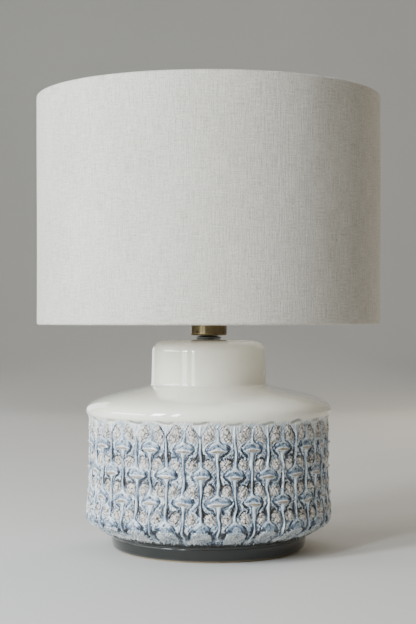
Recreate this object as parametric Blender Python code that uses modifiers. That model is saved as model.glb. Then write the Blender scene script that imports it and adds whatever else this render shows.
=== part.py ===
"""A glazed ceramic table lamp with a linen drum shade, built as separate solids.

Lengths are in millimetres until they reach Blender, which works in metres here.
The origin is the centre of the resting face, +Z is up and -Y is the front.
"""

import math

import bmesh
import bpy
from mathutils import Matrix, Vector

MM = 0.001
GAP = 0.3  # between pieces that touch
ROUND = 48  # segments of the large turned pieces
SMALL_ROUND = 28  # segments of the lampholder, the bulb and the hardware

# Driving dimensions of the whole lamp.
SHADE_RADIUS = 175.0
SHADE_BOTTOM = 228.0
SHADE_TOP = 459.3
NECK_TOP = 213.4
NECK_RADIUS = 58.2
BAND_RADIUS = 123.3
FOOT_RADIUS = 99.4
HOLDER_RADIUS = 18.6

# The ceramic body.
WALL = 7.0
NECK_EDGE_DROP = 0.8  # the neck's top is slightly crowned
NECK_EDGE_WIDTH = 13.2  # its edge is a quarter of an ellipse
NECK_EDGE_HEIGHT = 11.0
NECK_FLARE = 0.7
NECK_FILLET = 2.6
SHOULDER_TOP = 166.0
SHOULDER_SLOPE_END = (89.6, 160.0)
SHOULDER_RADIUS = 124.8
SHOULDER_BOTTOM = 143.1
BAND_TOP = 134.0
BAND_STRAIGHT_END = 82.0
BAND_FLARE_RADIUS = 126.6
BAND_BOTTOM = 38.0
UNDERCUT_CONTROL = (127.0, 32.0)
UNDERCUT_TOP = (124.6, 29.5)
FOOT_TOP = 13.7
FOOT_TAPER = 1.2
FOOT_ROUND = 5.2
HOLE_RADIUS = 6.0
SEAT_RADIUS = 13.5

# The underside.
FELT_THICKNESS = 1.2
FELT_RADIUS = 92.0
RIM_OPENING = 87.3
LEDGE_OPENING = 84.0
LEDGE_HEIGHT = 5.0
LEDGE_THICKNESS = 6.0

# The cord's way out, through the back of the foot.
OUTLET_HEIGHT = 8.2
OUTLET_HOLE = 4.0
GROMMET_SLEEVE = 3.7
GROMMET_FLANGE = 4.8
GROMMET_BORE = 2.6
GROMMET_FLANGE_THICKNESS = 1.2
GROMMET_LENGTH = 10.0

# Threaded rod and nuts.
NIPPLE_RADIUS = 4.9
NIPPLE_BORE = 3.4
NIPPLE_BOTTOM = 184.0
NIPPLE_TOP = 222.6
NUT_FLATS = 15.0
NUT_BORE = 5.2
LOCK_NUT_HEIGHT = 4.0
HOLDER_NUT_HEIGHT = 3.0
CLAMP_WASHER_RADIUS = 16.0
CLAMP_WASHER_THICKNESS = 1.5
LOCK_WASHER_RADIUS = 8.6
LOCK_WASHER_THICKNESS = 1.0

# The lampholder, up from the ceramic.
SEAT_WASHER_THICKNESS = 0.6
COLLAR_BOTTOM = NECK_TOP + 2 * GAP + SEAT_WASHER_THICKNESS
COLLAR_HEIGHT = 2.3
COLLAR_TOP_RADIUS = 8.6
COLLAR_FOOT_RADIUS = 13.0
COLLAR_EDGE = 0.7
HOLDER_BOTTOM = COLLAR_BOTTOM + COLLAR_HEIGHT + GAP
CAP_TOP = 240.0
CAP_WALL = 1.0
CAP_ROUND = 2.2
SKIRT_RADIUS = 19.4
SKIRT_TOP = 275.0
SKIRT_INNER = 16.2
SKIRT_MOUTH = 14.9  # the lip at the top, which the bulb's cap passes
SKIRT_BEAD = 0.8
SPIGOT_DEPTH = 7.0  # how far the skirt reaches into the cup
BLOCK_RADIUS = 15.9
BLOCK_BOTTOM = 226.0
TERMINAL_COUNT = 3
TERMINAL_CIRCLE = 11.5
TERMINAL_RADIUS = 2.0
TERMINAL_HEIGHT = 2.6
SHADE_RING_RADIUS = 26.5
SHADE_RING_BORE = 19.8
SHADE_RING_HEIGHT = 4.0
SHADE_RING_FLANGE = 1.3
FITTER_HEIGHT = 249.7
FITTER_THICKNESS = 1.5
FITTER_RADIUS = 27.0
FITTER_BORE = 21.0

# The Edison screw: the shell in the holder, and the bulb's cap inside it.
THREAD_PITCH = 3.62
SHELL_CREST = 13.6
SHELL_ROOT = 14.4
SHELL_WALL = 0.4
SHELL_BOTTOM = 243.6
SHELL_TOP = 270.0
SHELL_FLOOR_RADIUS = 9.0  # the hole in its floor, where the tongue comes through
SHELL_FLOOR = 0.6
TONGUE_WIDTH = 5.0
TONGUE_THICKNESS = 0.5
TONGUE_RISE = 2.6
CAP_CREST = 13.2
CAP_ROOT = 12.2
CAP_SHEET = 0.5
BULB_CAP_BOTTOM = 251.2
BULB_CAP_TOP = 272.0
BULB_CAP_MOUTH = 11.0
PIP_BOTTOM = 246.8
INSULATOR_BOTTOM = 248.0
BULB_NECK_RADIUS = 13.9
BULB_NECK_TOP = (14.4, 276.5)
BULB_FLARE_CONTROL = (17.0, 290.0)
BULB_HOUSING_RADIUS = 26.6
BULB_HOUSING_TOP = 302.0
BULB_RADIUS = 30.0
BULB_TOP = 354.5
BULB_WALL = 1.2

# The shade.
FABRIC = 0.5
LINER = 0.4
WIRE = 1.6
HEM_RADIUS = WIRE + GAP + FABRIC
HEM_WRAP = 225
HEM_STEPS = 6
WIRE_CIRCLE = SHADE_RADIUS - HEM_RADIUS
ARM_WIRE = 1.5
ARM_COUNT = 3


def material(name, colour, roughness, metallic=0.0):
    made = bpy.data.materials.new(name)
    made.use_nodes = True
    shader = made.node_tree.nodes["Principled BSDF"]
    shader.inputs["Base Color"].default_value = (*colour, 1.0)
    shader.inputs["Roughness"].default_value = roughness
    shader.inputs["Metallic"].default_value = metallic
    return made


def arc(centre, radius, start, end, steps, height=None):
    """Points in the r-z plane from one angle to another in degrees. With a height, they are on an ellipse."""
    height = radius if height is None else height
    angles = [math.radians(start + (end - start) * i / steps) for i in range(steps + 1)]
    return [(centre[0] + radius * math.cos(a), centre[1] + height * math.sin(a)) for a in angles]


def bend(start, control, end, steps):
    """Points on a quadratic curve, without its first point."""
    points = []
    for i in range(1, steps + 1):
        t = i / steps
        weights = ((1 - t) ** 2, 2 * t * (1 - t), t * t)
        points.append(tuple(sum(w * p[k] for w, p in zip(weights, (start, control, end))) for k in (0, 1)))
    return points


def new_object(name, mesh, look):
    made = bpy.data.objects.new(name, mesh)
    made.data.materials.append(look)
    LAMP.objects.link(made)
    return made


def turned(name, profile, look, steps=SMALL_ROUND, ring=True):
    """A solid of revolution. The profile runs down the outer side and back up the inner one.

    A ring's profile is a closed loop clear of the axis, and any other starts and ends on the axis.
    """
    mesh = bpy.data.meshes.new(name)
    count = len(profile)
    edges = [(i, (i + 1) % count) for i in range(count if ring else count - 1)]
    mesh.from_pydata([(r * MM, 0.0, z * MM) for r, z in profile], edges, [])
    made = new_object(name, mesh, look)
    screw = made.modifiers.new("turn", "SCREW")
    screw.axis = "Z"
    screw.steps = screw.render_steps = steps
    screw.use_merge_vertices = True
    screw.merge_threshold = 0.00001
    screw.use_smooth_shade = True
    return made


def cylinder_mesh(name, radius, height, sides):
    """A closed cylinder or prism standing on its origin."""
    shape = bmesh.new()
    bmesh.ops.create_cone(
        shape,
        cap_ends=True,
        segments=sides,
        radius1=radius * MM,
        radius2=radius * MM,
        depth=height * MM,
        matrix=Matrix.Translation((0, 0, height * MM / 2)),
    )
    mesh = bpy.data.meshes.new(name)
    shape.to_mesh(mesh)
    shape.free()
    return mesh


def cutter(name, radius, height, sides, place, rotation=(0, 0, 0)):
    made = bpy.data.objects.new(name, cylinder_mesh(name, radius, height, sides))
    made.location = Vector(place) * MM
    made.rotation_euler = rotation
    made.hide_render = True
    made.display_type = "WIRE"
    CUTTERS.objects.link(made)
    return made


def cut(target, tool):
    boolean = target.modifiers.new("cut", "BOOLEAN")
    boolean.operation = "DIFFERENCE"
    boolean.object = tool


def washer(name, inner, outer, bottom, thickness, look, steps=SMALL_ROUND):
    top = bottom + thickness
    return turned(name, [(inner, top), (outer, top), (outer, bottom), (inner, bottom)], look, steps)


def hex_nut(name, bottom, height, look):
    """A hexagonal nut around the threaded rod, with its bore cut through."""
    made = new_object(name, cylinder_mesh(name, NUT_FLATS / math.sqrt(3), height, 6), look)
    made.location = (0, 0, bottom * MM)
    bevel = made.modifiers.new("edges", "BEVEL")
    bevel.width = 0.3 * MM
    bevel.segments = 1
    cut(made, cutter(name + "_bore", NUT_BORE, height + 4, 24, (0, 0, bottom - 2)))
    return made


def body_outline():
    """The outside of the ceramic from the edge of its top hole down to the rim of its foot."""
    edge_centre = (NECK_RADIUS - NECK_EDGE_WIDTH, NECK_TOP - NECK_EDGE_DROP - NECK_EDGE_HEIGHT)
    fillet_radius = NECK_RADIUS + NECK_FLARE + NECK_FILLET
    points = [(HOLE_RADIUS, NECK_TOP), (SEAT_RADIUS, NECK_TOP)]
    points += arc(edge_centre, NECK_EDGE_WIDTH, 90, 0, 5, NECK_EDGE_HEIGHT)
    points += arc((fillet_radius, SHOULDER_TOP + NECK_FILLET), NECK_FILLET, 180, 270, 2)
    slope = (SHOULDER_SLOPE_END[1] - SHOULDER_TOP) / (SHOULDER_SLOPE_END[0] - fillet_radius)
    corner = (SHOULDER_RADIUS, SHOULDER_SLOPE_END[1] + slope * (SHOULDER_RADIUS - SHOULDER_SLOPE_END[0]))
    points += [SHOULDER_SLOPE_END]
    points += bend(SHOULDER_SLOPE_END, corner, (SHOULDER_RADIUS, SHOULDER_BOTTOM), 5)
    points += [(BAND_RADIUS, BAND_TOP), (BAND_RADIUS, BAND_STRAIGHT_END)]
    flare_control = (BAND_RADIUS, (BAND_STRAIGHT_END + BAND_BOTTOM) / 2)
    points += bend((BAND_RADIUS, BAND_STRAIGHT_END), flare_control, (BAND_FLARE_RADIUS, BAND_BOTTOM), 3)
    points += bend((BAND_FLARE_RADIUS, BAND_BOTTOM), UNDERCUT_CONTROL, UNDERCUT_TOP, 2)
    rim = FELT_THICKNESS + GAP
    points += [(FOOT_RADIUS, FOOT_TOP), (FOOT_RADIUS - FOOT_TAPER / 3, FOOT_TOP - 2)]
    points += arc((FOOT_RADIUS - FOOT_TAPER - FOOT_ROUND, rim + FOOT_ROUND), FOOT_ROUND, 0, -80, 3)
    return points


def body_lining():
    """The inside of the ceramic from the rim of its foot up to the edge of its top hole.

    It stays a wall's thickness or more from the outside, and thicker where the body turns.
    """
    rim = FELT_THICKNESS + GAP
    ceiling = NECK_TOP - WALL - 1
    return [
        (RIM_OPENING, rim),
        (RIM_OPENING, LEDGE_HEIGHT),
        (LEDGE_OPENING, LEDGE_HEIGHT),
        (LEDGE_OPENING, LEDGE_HEIGHT + LEDGE_THICKNESS),
        (FOOT_RADIUS - 4, FOOT_TOP + WALL),
        (UNDERCUT_TOP[0] - WALL, UNDERCUT_TOP[1] + WALL),
        (BAND_RADIUS - WALL, BAND_STRAIGHT_END),
        (BAND_RADIUS - WALL, BAND_TOP),
        (SHOULDER_RADIUS - 3 * WALL, SHOULDER_BOTTOM + 3),
        (SHOULDER_SLOPE_END[0] - 2, SHOULDER_SLOPE_END[1] - WALL),
        (NECK_RADIUS - WALL, SHOULDER_TOP - WALL),
        (NECK_RADIUS - WALL, ceiling - 1.5 * WALL),
        (NECK_RADIUS - 2.5 * WALL, ceiling),
        (HOLE_RADIUS, ceiling),
    ]


def make_ceramic_body():
    body = turned("ceramic_body", body_outline() + body_lining(), GLAZE, ROUND)
    hole = cutter(
        "outlet_hole",
        OUTLET_HOLE,
        40,
        24,
        (0, FOOT_RADIUS - 25, OUTLET_HEIGHT),
        (-math.pi / 2, 0, 0),
    )
    cut(body, hole)


def make_underside():
    felt = [(0, FELT_THICKNESS), (FELT_RADIUS, FELT_THICKNESS), (FELT_RADIUS, 0), (0, 0)]
    turned("felt_pad", felt, FELT, ROUND, ring=False)
    bottom = FELT_THICKNESS + GAP
    top = LEDGE_HEIGHT - GAP
    edge = RIM_OPENING - GAP
    turned("base_board", [(0, top), (edge, top), (edge, bottom), (0, bottom)], BOARD, ROUND, ring=False)


def make_grommet():
    """A flanged bush whose axis is along Y, pushed into the outlet hole from behind."""
    edge = 0.5
    profile = [
        (GROMMET_BORE, GROMMET_FLANGE_THICKNESS),
        (GROMMET_FLANGE - edge, GROMMET_FLANGE_THICKNESS),
        (GROMMET_FLANGE, GROMMET_FLANGE_THICKNESS - edge),
        (GROMMET_FLANGE, 0),
        (GROMMET_SLEEVE, 0),
        (GROMMET_SLEEVE, -GROMMET_LENGTH),
        (GROMMET_BORE, -GROMMET_LENGTH),
    ]
    grommet = turned("cord_grommet", profile, GREY_PLASTIC, 24)
    grommet.location = (0, (FOOT_RADIUS + 0.1) * MM, OUTLET_HEIGHT * MM)
    grommet.rotation_euler = (-math.pi / 2, 0, 0)


def make_hardware():
    """What clamps the lampholder to the neck: the rod, and what is on it above and below the ceramic."""
    washer("threaded_nipple", NIPPLE_BORE, NIPPLE_RADIUS, NIPPLE_BOTTOM, NIPPLE_TOP - NIPPLE_BOTTOM, STEEL, 24)
    washer("seat_washer", NUT_BORE, COLLAR_FOOT_RADIUS - 1, NECK_TOP + GAP, SEAT_WASHER_THICKNESS, RUBBER)
    collar_top = COLLAR_BOTTOM + COLLAR_HEIGHT
    collar = [
        (NUT_BORE, collar_top),
        (COLLAR_TOP_RADIUS, collar_top),
        (COLLAR_FOOT_RADIUS, COLLAR_BOTTOM + COLLAR_EDGE),
        (COLLAR_FOOT_RADIUS, COLLAR_BOTTOM),
        (NUT_BORE, COLLAR_BOTTOM),
    ]
    turned("seat_collar", collar, GUNMETAL)
    height = NECK_TOP - WALL - 1 - GAP - CLAMP_WASHER_THICKNESS
    washer("clamp_washer", NUT_BORE, CLAMP_WASHER_RADIUS, height, CLAMP_WASHER_THICKNESS, STEEL)
    height -= GAP + LOCK_WASHER_THICKNESS
    washer("lock_washer", NUT_BORE, LOCK_WASHER_RADIUS, height, LOCK_WASHER_THICKNESS, STEEL)
    height -= GAP + LOCK_NUT_HEIGHT
    hex_nut("lock_nut", height, LOCK_NUT_HEIGHT, STEEL)
    hex_nut("holder_nut", HOLDER_BOTTOM + CAP_WALL + GAP, HOLDER_NUT_HEIGHT, STEEL)


def make_lampholder():
    floor = HOLDER_BOTTOM + CAP_WALL
    inner = HOLDER_RADIUS - CAP_WALL
    cap = [(NUT_BORE, floor), (NUT_BORE, HOLDER_BOTTOM)]
    cap += arc((HOLDER_RADIUS - CAP_ROUND, HOLDER_BOTTOM + CAP_ROUND), CAP_ROUND, -90, 0, 4)
    cap += [(HOLDER_RADIUS, CAP_TOP), (inner, CAP_TOP)]
    inside_round = CAP_ROUND - CAP_WALL
    cap += [(inner, floor + inside_round), (inner - inside_round, floor)]
    turned("lampholder_cap", cap[::-1], BRASS)

    spigot = HOLDER_RADIUS - CAP_WALL - 2 * GAP
    edge = 0.6
    bead = SKIRT_RADIUS + SKIRT_BEAD
    skirt = [
        (SKIRT_MOUTH, SKIRT_TOP),
        (SKIRT_RADIUS - edge, SKIRT_TOP),
        (SKIRT_RADIUS, SKIRT_TOP - edge),
        (SKIRT_RADIUS, CAP_TOP + 2.6),
        (bead, CAP_TOP + 2.2),
        (bead, CAP_TOP + GAP),
        (spigot, CAP_TOP + GAP),
        (spigot, CAP_TOP - SPIGOT_DEPTH),
        (SKIRT_INNER, CAP_TOP - SPIGOT_DEPTH),
        (SKIRT_INNER, SKIRT_TOP - 3),
        (SKIRT_MOUTH, SKIRT_TOP - 2),
    ]
    turned("lampholder_skirt", skirt, BRASS)

    block_top = SHELL_BOTTOM - GAP
    block = [(0, block_top), (BLOCK_RADIUS, block_top), (BLOCK_RADIUS, BLOCK_BOTTOM), (0, BLOCK_BOTTOM)]
    turned("terminal_block", block, PORCELAIN, ring=False)
    screw_bottom = BLOCK_BOTTOM - TERMINAL_HEIGHT - GAP
    for i in range(TERMINAL_COUNT):
        turn = math.radians(90 + 360 / TERMINAL_COUNT * i)
        mesh = cylinder_mesh("terminal_screw", TERMINAL_RADIUS, TERMINAL_HEIGHT, 12)
        screw = new_object(f"terminal_screw_{i + 1}", mesh, BRASS)
        across = (TERMINAL_CIRCLE * math.cos(turn), TERMINAL_CIRCLE * math.sin(turn))
        screw.location = Vector((*across, screw_bottom)) * MM

    lower = FITTER_HEIGHT - GAP
    waist = SHADE_RING_BORE + 2
    low_ring = [
        (SHADE_RING_BORE, lower),
        (SHADE_RING_RADIUS, lower),
        (SHADE_RING_RADIUS, lower - SHADE_RING_FLANGE),
        (waist, lower - SHADE_RING_FLANGE),
        (waist, lower - SHADE_RING_HEIGHT),
        (SHADE_RING_BORE, lower - SHADE_RING_HEIGHT),
    ]
    turned("shade_ring_lower", low_ring, BRASS)
    upper = FITTER_HEIGHT + FITTER_THICKNESS + GAP
    high_ring = [(r, upper + lower - z) for r, z in reversed(low_ring)]
    turned("shade_ring_upper", high_ring, BRASS)


def thread(crest, root, bottom, top):
    """A round thread's outline as rings, from top to bottom, one crest and one root to each pitch."""
    turns = int((top - bottom) / THREAD_PITCH)
    start = top - (top - bottom - turns * THREAD_PITCH) / 2
    points = []
    for i in range(turns):
        points.append((root, start - i * THREAD_PITCH))
        points.append((crest, start - (i + 0.5) * THREAD_PITCH))
    return points + [(root, start - turns * THREAD_PITCH)]


def make_contacts():
    """The brass shell that the bulb screws into, and the springy tongue under the bulb's tip."""
    outside = [(SHELL_ROOT + SHELL_WALL, SHELL_TOP), (SHELL_ROOT + SHELL_WALL, SHELL_BOTTOM)]
    floor = SHELL_BOTTOM + SHELL_FLOOR
    inside = [(SHELL_FLOOR_RADIUS, SHELL_BOTTOM), (SHELL_FLOOR_RADIUS, floor), (SHELL_ROOT, floor)]
    inside += thread(SHELL_ROOT, SHELL_CREST, SHELL_BOTTOM + 2, SHELL_TOP - 1)[::-1]
    inside += [(SHELL_ROOT, SHELL_TOP)]
    turned("screw_shell", outside + inside, BRASS, 24)

    foot = SHELL_BOTTOM
    crest = foot - GAP + TONGUE_RISE
    path = [(7.0, foot), (4.2, foot), (1.2, crest), (-2.6, crest), (-3.6, crest - 0.8)]
    curve = bpy.data.curves.new("centre_contact", "CURVE")
    curve.dimensions = "2D"
    curve.fill_mode = "BOTH"
    curve.extrude = TONGUE_WIDTH / 2 * MM
    outline = path + [(x, z + TONGUE_THICKNESS) for x, z in reversed(path)]
    spline = curve.splines.new("POLY")
    spline.points.add(len(outline) - 1)
    spline.use_cyclic_u = True
    for point, (x, z) in zip(spline.points, outline):
        point.co = (x * MM, z * MM, 0, 1)
    contact = new_object("centre_contact", curve, BRASS)
    contact.rotation_euler = (math.pi / 2, 0, 0)


def make_bulb():
    pip_top = INSULATOR_BOTTOM - GAP
    pip = [(0, pip_top), (3.6, pip_top), (4.4, pip_top - 0.4), (3.2, PIP_BOTTOM + 0.1), (0, PIP_BOTTOM)]
    turned("bulb_contact", pip, NICKEL, 24, ring=False)
    collar = BULB_CAP_BOTTOM - GAP
    insulator = [(0, collar), (10.6, collar), (8.8, collar - 1.8)]
    insulator += [(4.9, INSULATOR_BOTTOM), (0, INSULATOR_BOTTOM)]
    turned("bulb_insulator", insulator, BLACK_GLASS, 24, ring=False)

    outside = [(CAP_CREST, BULB_CAP_TOP)]
    outside += thread(CAP_CREST, CAP_ROOT, BULB_CAP_BOTTOM + 1, BULB_CAP_TOP - 2)
    outside += [(BULB_CAP_MOUTH, BULB_CAP_BOTTOM)]
    inside = [(BULB_CAP_MOUTH - CAP_SHEET, BULB_CAP_BOTTOM + CAP_SHEET)]
    inside += [(CAP_ROOT - CAP_SHEET, BULB_CAP_BOTTOM + 2), (CAP_ROOT - CAP_SHEET, BULB_CAP_TOP)]
    turned("bulb_screw_cap", outside + inside, NICKEL, 24)

    foot = BULB_CAP_TOP + GAP
    rim = (BULB_HOUSING_RADIUS, BULB_HOUSING_TOP)
    flare = [rim] + bend(rim, BULB_FLARE_CONTROL, BULB_NECK_TOP, 4)
    housing = flare + [(BULB_NECK_RADIUS, foot), (BULB_NECK_RADIUS - BULB_WALL, foot)]
    housing += [(r - BULB_WALL, z) for r, z in reversed(flare[:-1])]
    turned("bulb_housing", housing, WHITE_PLASTIC)

    globe_centre = BULB_TOP - BULB_RADIUS
    low = math.degrees(math.asin((BULB_HOUSING_TOP + GAP - globe_centre) / BULB_RADIUS))
    outer = arc((0, globe_centre), BULB_RADIUS, 90, low, 8)
    outer[0] = (0, BULB_TOP)
    inner = arc((0, globe_centre), BULB_RADIUS - BULB_WALL, low, 90, 8)
    inner[-1] = (0, BULB_TOP - BULB_WALL)
    turned("bulb_globe", outer + inner, OPAL, ring=False)


def hem(height, way):
    """The fabric's outline round a wire ring, out and back. Way is 1 at the top edge and -1 at the bottom."""
    outer = arc((WIRE_CIRCLE, 0), HEM_RADIUS, 0, HEM_WRAP, HEM_STEPS)
    inner = arc((WIRE_CIRCLE, 0), HEM_RADIUS - FABRIC, HEM_WRAP, 0, HEM_STEPS)
    return [(r, height + way * (z - HEM_RADIUS)) for r, z in outer + inner]


def make_shade():
    turned("shade_fabric", hem(SHADE_BOTTOM, -1) + hem(SHADE_TOP, 1)[::-1], LINEN, ROUND)

    liner_outer = SHADE_RADIUS - FABRIC - GAP
    low = SHADE_BOTTOM + 2 * HEM_RADIUS + GAP
    high = SHADE_TOP - 2 * HEM_RADIUS - GAP
    liner = [(liner_outer - LINER, high), (liner_outer, high), (liner_outer, low), (liner_outer - LINER, low)]
    turned("shade_liner", liner, WHITE_PLASTIC, ROUND)

    for name, height in (("top_wire", SHADE_TOP - HEM_RADIUS), ("bottom_wire", SHADE_BOTTOM + HEM_RADIUS)):
        circle = arc((WIRE_CIRCLE, height), WIRE, 90, -210, 5)
        turned(name, circle, WHITE_METAL, ROUND)

    washer("fitter_ring", FITTER_BORE, FITTER_RADIUS, FITTER_HEIGHT, FITTER_THICKNESS, WHITE_METAL)
    start = FITTER_RADIUS + GAP
    end = WIRE_CIRCLE - HEM_RADIUS - 2 * GAP
    middle = FITTER_HEIGHT + FITTER_THICKNESS / 2
    drop = SHADE_BOTTOM + HEM_RADIUS
    route = [(start, middle), (start + 6, middle)]
    route += bend(route[-1], (start + 12, middle), (start + 20, middle - 2), 3)
    route += [(end - 12, drop + 0.8), (end, drop)]
    for i in range(ARM_COUNT):
        name = f"shade_arm_{i + 1}"
        curve = bpy.data.curves.new(name, "CURVE")
        curve.dimensions = "3D"
        curve.bevel_depth = ARM_WIRE * MM
        curve.bevel_resolution = 2
        curve.use_fill_caps = True
        spline = curve.splines.new("POLY")
        spline.points.add(len(route) - 1)
        for point, (r, z) in zip(spline.points, route):
            point.co = (r * MM, 0, z * MM, 1)
        arm = new_object(name, curve, WHITE_METAL)
        arm.rotation_euler = (0, 0, math.radians(90 + 360 / ARM_COUNT * i))


for old in list(bpy.data.objects):
    bpy.data.objects.remove(old)
LAMP = bpy.data.collections.new("table_lamp")
CUTTERS = bpy.data.collections.new("cutters")
bpy.context.scene.collection.children.link(LAMP)
bpy.context.scene.collection.children.link(CUTTERS)

GLAZE = material("glazed_ceramic", (0.78, 0.78, 0.74), 0.12)
LINEN = material("linen", (0.72, 0.71, 0.68), 0.9)
WHITE_PLASTIC = material("white_plastic", (0.86, 0.86, 0.84), 0.4)
WHITE_METAL = material("white_enamelled_wire", (0.82, 0.82, 0.8), 0.35)
BRASS = material("antique_brass", (0.42, 0.33, 0.2), 0.3, 1.0)
NICKEL = material("nickel_plate", (0.7, 0.69, 0.66), 0.25, 1.0)
STEEL = material("zinc_plated_steel", (0.45, 0.45, 0.45), 0.35, 1.0)
GUNMETAL = material("gunmetal", (0.06, 0.06, 0.065), 0.35, 1.0)
RUBBER = material("black_rubber", (0.03, 0.03, 0.03), 0.7)
GREY_PLASTIC = material("grey_plastic", (0.12, 0.12, 0.12), 0.4)
PORCELAIN = material("porcelain", (0.8, 0.79, 0.75), 0.3)
BLACK_GLASS = material("black_glass", (0.01, 0.01, 0.012), 0.15)
OPAL = material("opal_diffuser", (0.92, 0.92, 0.9), 0.3)
FELT = material("cream_felt", (0.62, 0.55, 0.42), 0.95)
BOARD = material("fibreboard", (0.3, 0.2, 0.12), 0.8)

make_ceramic_body()
make_underside()
make_grommet()
make_hardware()
make_lampholder()
make_contacts()
make_bulb()
make_shade()
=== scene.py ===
"""The looks of a glazed ceramic table lamp with a linen drum shade, built round its CAD frame.

Shapes are worked out in millimetres and become metres when their mesh is made.
Angles round the lamp start at the front, which is -Y, and grow towards +X.
"""

import math

import bpy
import numpy as np
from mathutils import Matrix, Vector


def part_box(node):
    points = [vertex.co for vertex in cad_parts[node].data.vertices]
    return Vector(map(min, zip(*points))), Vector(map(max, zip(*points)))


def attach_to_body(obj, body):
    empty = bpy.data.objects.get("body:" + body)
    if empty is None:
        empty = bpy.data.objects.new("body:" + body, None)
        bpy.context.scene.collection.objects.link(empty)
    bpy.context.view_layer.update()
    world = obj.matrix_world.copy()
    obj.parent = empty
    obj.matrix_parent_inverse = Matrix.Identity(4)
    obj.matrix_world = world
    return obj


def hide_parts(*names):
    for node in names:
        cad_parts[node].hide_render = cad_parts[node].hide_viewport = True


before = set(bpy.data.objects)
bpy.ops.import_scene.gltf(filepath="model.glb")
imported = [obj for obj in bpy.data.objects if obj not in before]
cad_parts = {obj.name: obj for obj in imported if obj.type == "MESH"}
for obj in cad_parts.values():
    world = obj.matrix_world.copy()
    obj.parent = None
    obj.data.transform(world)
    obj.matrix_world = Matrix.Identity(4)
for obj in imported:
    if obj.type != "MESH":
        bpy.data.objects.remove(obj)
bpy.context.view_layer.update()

MM = 0.001


def span(node):
    """A CAD node's outer radius, bottom and top, in millimetres."""
    low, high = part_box(node)
    return high.x / MM, low.z / MM, high.z / MM


# ---------------------------------------------------------------- meshes


def ease(low, high, value):
    """A smooth step from 0 at low to 1 at high."""
    t = np.clip((value - low) / (high - low), 0.0, 1.0)
    return t * t * (3 - 2 * t)


def arc(centre, radius, start, end, steps):
    """Points on a circle, from one angle to another in degrees."""
    angles = np.radians(np.linspace(start, end, steps + 1))
    return [(centre[0] + radius * math.cos(a), centre[1] + radius * math.sin(a)) for a in angles]


def bend(start, control, end, steps):
    """Points on a quadratic curve, without its first point."""
    t = np.linspace(0, 1, steps + 1)[1:, None]
    curve = (1 - t) ** 2 * np.array(start) + 2 * t * (1 - t) * np.array(control) + t * t * np.array(end)
    return [tuple(p) for p in curve]


def between(start, end, steps):
    """Evenly spaced points on a line, without its first point."""
    t = np.linspace(0, 1, steps + 1)[1:, None]
    return [tuple(p) for p in np.array(start) * (1 - t) + np.array(end) * t]


def make(name, points, faces, look, uv=None):
    """An object from points in millimetres, faces, and one UV pair for each face corner."""
    mesh = bpy.data.meshes.new(name)
    mesh.from_pydata((np.asarray(points) * MM).tolist(), [], faces)
    if uv is not None:
        layer = mesh.uv_layers.new(name="cloth")
        layer.data.foreach_set("uv", np.asarray(uv, np.float32).ravel())
    mesh.shade_smooth()
    mesh.materials.append(look)
    made = bpy.data.objects.new(name, mesh)
    bpy.context.scene.collection.objects.link(made)
    return made


def lathe(name, profile, steps, look, loop=True, sharp=35.0, wobble=None):
    """A turned piece, whose UV is its length round and its length along the profile in millimetres.

    The profile runs down the outer side. A loop's closes on itself, and any other starts and ends
    on the axis. A wobble takes the angle and height and gives the change in radius.
    """
    outline = np.array(profile, float)
    if loop:
        outline = np.vstack([outline, outline[:1]])
    along = np.concatenate([[0], np.cumsum(np.hypot(*np.diff(outline, axis=0).T))])
    angle = 2 * np.pi * np.arange(steps) / steps
    points, rows = [], []
    for r, z in outline[:-1] if loop else outline:
        rows.append((len(points), r < 1e-6))
        if r < 1e-6:
            points.append((0.0, 0.0, z))
            continue
        radius = r + (wobble(angle, z) if wobble else 0.0) + 0 * angle
        ring = [-radius * np.sin(angle), radius * np.cos(angle), z + 0 * angle]
        points.extend(np.stack(ring, 1).tolist())
    if loop:
        rows.append(rows[0])
    reach = 2 * math.pi * outline[:, 0].max() / steps
    faces, uv = [], []
    for i in range(len(rows) - 1):
        (a, a_pole), (b, b_pole) = rows[i], rows[i + 1]
        top, low = along[i], along[i + 1]
        for j in range(steps):
            k = (j + 1) % steps
            left, right = j * reach, (j + 1) * reach
            if a_pole:
                faces.append((a, b + j, b + k))
                uv += [(left, top), (left, low), (right, low)]
            elif b_pole:
                faces.append((a + j, b, a + k))
                uv += [(left, top), (left, low), (right, top)]
            else:
                faces.append((a + j, b + j, b + k, a + k))
                uv += [(left, top), (left, low), (right, low), (right, top)]
    made = make(name, points, faces, look, uv)
    made.data.set_sharp_from_angle(angle=math.radians(sharp))
    return made


def tube(name, path, radius, look, sides=16):
    """A round bar along a path in millimetres, with closed ends. The radius may differ along it."""
    path = np.array(path, float)
    radii = np.broadcast_to(radius, len(path))
    ahead = np.gradient(path, axis=0)
    ahead /= np.linalg.norm(ahead, axis=1)[:, None]
    across = np.cross(ahead, (0.0, 0.0, 1.0))
    across /= np.linalg.norm(across, axis=1)[:, None]
    up = np.cross(across, ahead)
    turn = 2 * np.pi * np.arange(sides) / sides
    ring = across[:, None] * np.cos(turn)[None, :, None] + up[:, None] * np.sin(turn)[None, :, None]
    points = (path[:, None] + ring * radii[:, None, None]).reshape(-1, 3)
    faces = [tuple(range(sides))[::-1], tuple(range(len(points) - sides, len(points)))]
    for i in range(len(path) - 1):
        for j in range(sides):
            k = (j + 1) % sides
            faces.append((i * sides + j, i * sides + k, (i + 1) * sides + k, (i + 1) * sides + j))
    made = make(name, points, faces, look)
    made.data.set_sharp_from_angle(angle=math.radians(50))
    return made


def attach(piece, body, slot, *nodes):
    """Ride on a body and stand for CAD nodes. The slot is not used."""
    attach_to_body(piece, body)
    if nodes:
        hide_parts(*nodes)
    return piece


# ---------------------------------------------------------------- materials


def linear(colour):
    """A colour as a screen shows it, 0 to 255, turned to a linear one with alpha."""
    return (*(((c / 255 + 0.055) / 1.055) ** 2.4 for c in colour), 1.0)


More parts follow.
